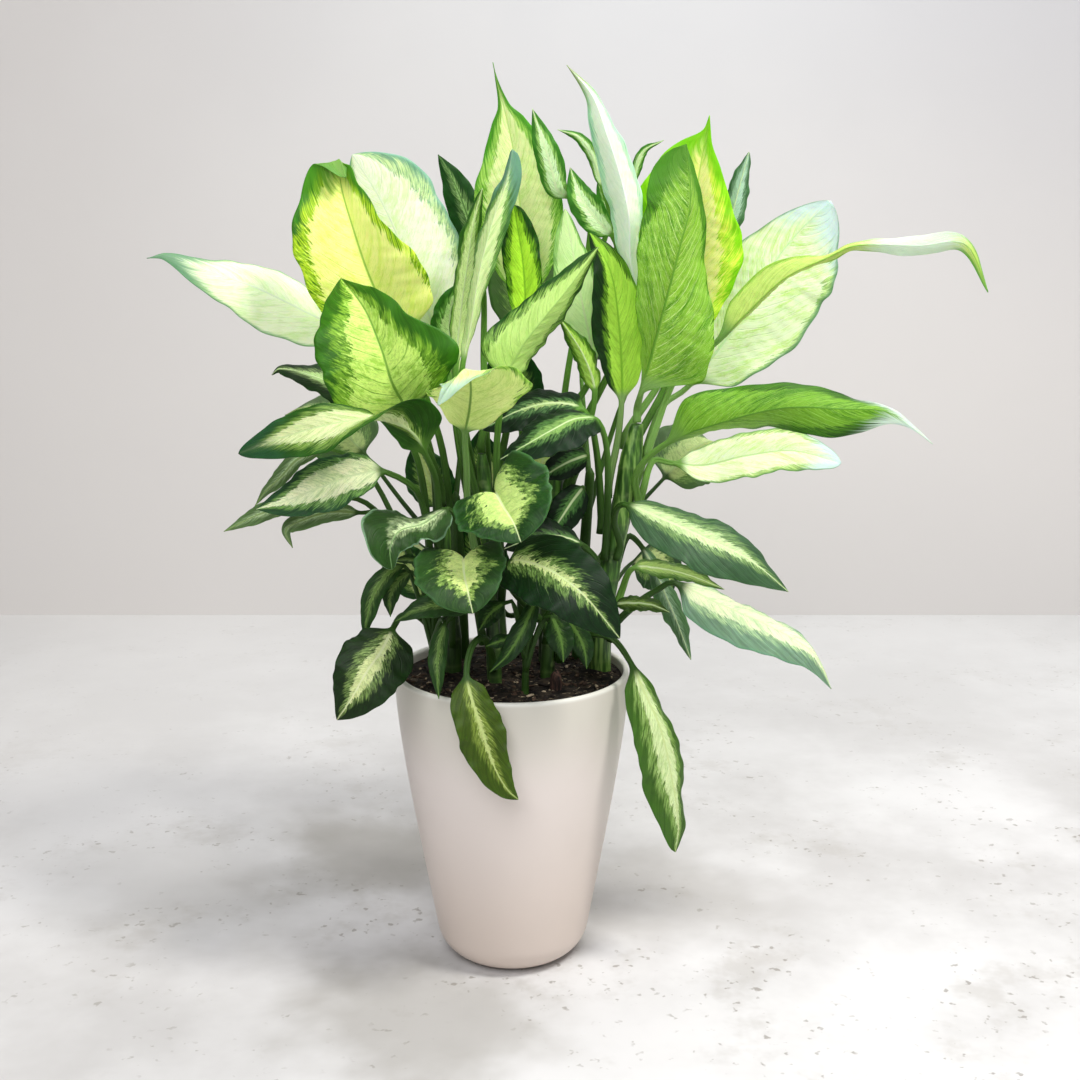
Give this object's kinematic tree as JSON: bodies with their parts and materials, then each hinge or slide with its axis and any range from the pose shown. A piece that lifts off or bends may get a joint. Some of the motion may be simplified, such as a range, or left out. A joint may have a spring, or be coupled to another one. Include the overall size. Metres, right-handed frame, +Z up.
{
  "type": "potted dumb cane",
  "caption": "Leafy variegated house plant in a tall tapered round planter filled with potting mix, for standing on a floor or shelf.",
  "frame": {"origin": "centre of the pot's flat underside", "axes": "+Z up the pot and the plant, -Y to the front that the picture shows, +X to the right of it"},
  "size_m": [0.685, 0.3657, 0.7555],
  "materials": {
    "pot_glaze": "smooth semi-matte off-white glaze",
    "potting_mix": "dark crumbly mix with bark chips",
    "bark": "rough reddish-brown bark",
    "cane_skin": "smooth green stem",
    "leaf_bright": "satin leaf, yellow-green centre and green margin",
    "leaf_pale": "satin leaf, pale mint with a blue-green margin",
    "leaf_dark": "satin dark green leaf with a cream feathered centre",
    "leaf_olive": "satin olive-green leaf"
  },
  "bodies": {
    "root": {"back_stem_left": "leaf_dark", "back_stem_middle": "leaf_dark", "back_stem_right": "leaf_dark", "bark_chip": "bark", "cane_centre": "cane_skin", "cane_front": "cane_skin", "cane_front_right": "cane_skin", "cane_left": "cane_skin", "cane_middle": "cane_skin", "cane_right": "cane_skin", "leaf_01_far_left": "leaf_pale", "leaf_02_left_upright": "leaf_bright", "leaf_03_left_pale": "leaf_pale", "leaf_04_left_front": "leaf_bright", "leaf_05_left_low_back": "leaf_dark", "leaf_06_left_arching": "leaf_dark", "leaf_07_left_lower": "leaf_dark", "leaf_12_left_drooping": "leaf_dark", "leaf_13_cupped_centre": "leaf_bright", "leaf_14_heart_upper": "leaf_dark", "leaf_15_heart_lower": "leaf_dark", "leaf_16_front_right": "leaf_dark", "leaf_17_dark_upper": "leaf_dark", "leaf_18_dark_lower": "leaf_dark", "leaf_19_dark_inner": "leaf_dark", "leaf_20_front_left_hanging": "leaf_dark", "leaf_21_front_hanging": "leaf_olive", "leaf_22_right_hanging": "leaf_olive", "leaf_29_right_front": "leaf_dark", "leaf_31_right_narrow": "leaf_bright", "leaf_32_right_low": "leaf_pale", "leaf_33_right_drooping": "leaf_dark", "leaf_34_right_olive": "leaf_olive", "leaf_35_right_pale": "leaf_pale", "leaf_36_right_twisting": "leaf_olive", "leaf_37_right_broad_pale": "leaf_pale", "leaf_38_right_slender": "leaf_pale", "leaf_39_right_tall": "leaf_olive", "leaf_40_right_lime": "leaf_bright", "leaf_41_right_back_small": "leaf_pale", "leaf_42_tall_mint": "leaf_pale", "leaf_43_tall_centre": "leaf_bright", "leaf_44_back_dark": "leaf_dark", "leaf_45_slender_tip": "leaf_pale", "leaf_46_slender_pale": "leaf_pale", "leaf_48_lime_inner": "leaf_bright", "leaf_49_middle_diagonal": "leaf_bright", "leaf_50_left_inner": "leaf_pale", "leaf_51_pale_inner": "leaf_pale", "leaf_52_lime_folded": "leaf_bright", "leaf_53_dark_margin": "leaf_bright", "pot": "pot_glaze", "shoot_front": "leaf_dark", "shoot_front_left": "leaf_dark", "shoot_inner": "leaf_dark", "shoot_left_low": "leaf_olive", "shoot_top": "leaf_pale", "soil": "potting_mix"}
  },
  "joints": []
}
